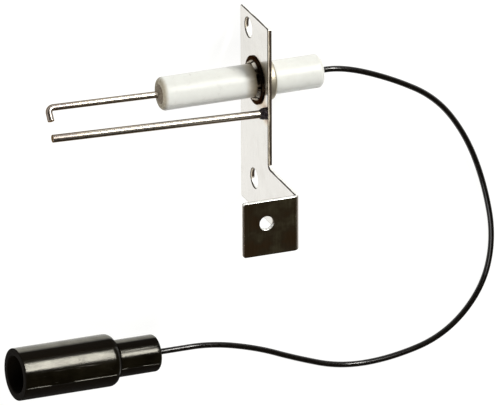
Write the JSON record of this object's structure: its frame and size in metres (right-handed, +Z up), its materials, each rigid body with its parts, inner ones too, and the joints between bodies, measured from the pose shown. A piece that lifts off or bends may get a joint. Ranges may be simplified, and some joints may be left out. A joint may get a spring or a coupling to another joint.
{
  "type": "ignition electrode",
  "caption": "Spark electrode and parallel ground rod in a ceramic insulator on a bent steel bracket, with a high-voltage lead and rubber boot.",
  "frame": {"origin": "on the table, under the centre of the rigid electrode assembly (bracket, ceramic and rods) lying on the plate's long edge", "axes": "+X along the ceramic from the spark tips to the lead end, +Y along the plate away from the foot, +Z up from the table"},
  "size_m": [0.176, 0.1366, 0.0504],
  "materials": {
    "plated_steel": "bright zinc plate, satin, rolling lines",
    "white_ceramic": "smooth off-white glaze",
    "dark_spring_steel": "dark oiled spring steel",
    "bright_collar": "polished nickel plate",
    "rod_alloy": "drawn heat-resisting alloy rod, slightly tarnished",
    "weld_bead": "scaled dark weld with heat tint",
    "cement": "rough brown-grey refractory cement",
    "splice_metal": "crimped nickel-plated sleeve",
    "potting": "matt off-white sealing compound",
    "lead_jacket": "glossy black silicone jacket",
    "copper": "stranded tinned copper",
    "boot_rubber": "moulded black rubber, semi-gloss",
    "terminal_brass": "stamped brass",
    "clip_steel": "drawn spring wire"
  },
  "bodies": {
    "electrode": {"mounting_bracket": "plated_steel", "ceramic_insulator": "white_ceramic", "front_retaining_ring": "dark_spring_steel", "rear_collar": "bright_collar", "spark_electrode": "rod_alloy", "ground_rod": "rod_alloy", "ground_rod_weld": "weld_bead", "front_cement": "cement", "splice_sleeve": "splice_metal", "rear_potting": "potting", "lead_jacket": "lead_jacket", "lead_conductor": "copper", "terminal_socket": "terminal_brass", "terminal_spring_clip": "clip_steel", "jacket_ferrule": "splice_metal"},
    "boot": {"rubber_boot": "boot_rubber"}
  },
  "joints": [
    {"name": "boot_slide", "type": "slide", "parent": "electrode", "child": "boot", "axis": [0.9958, -0.0383, -0.0828], "range_m": [0, 0.01]}
  ]
}
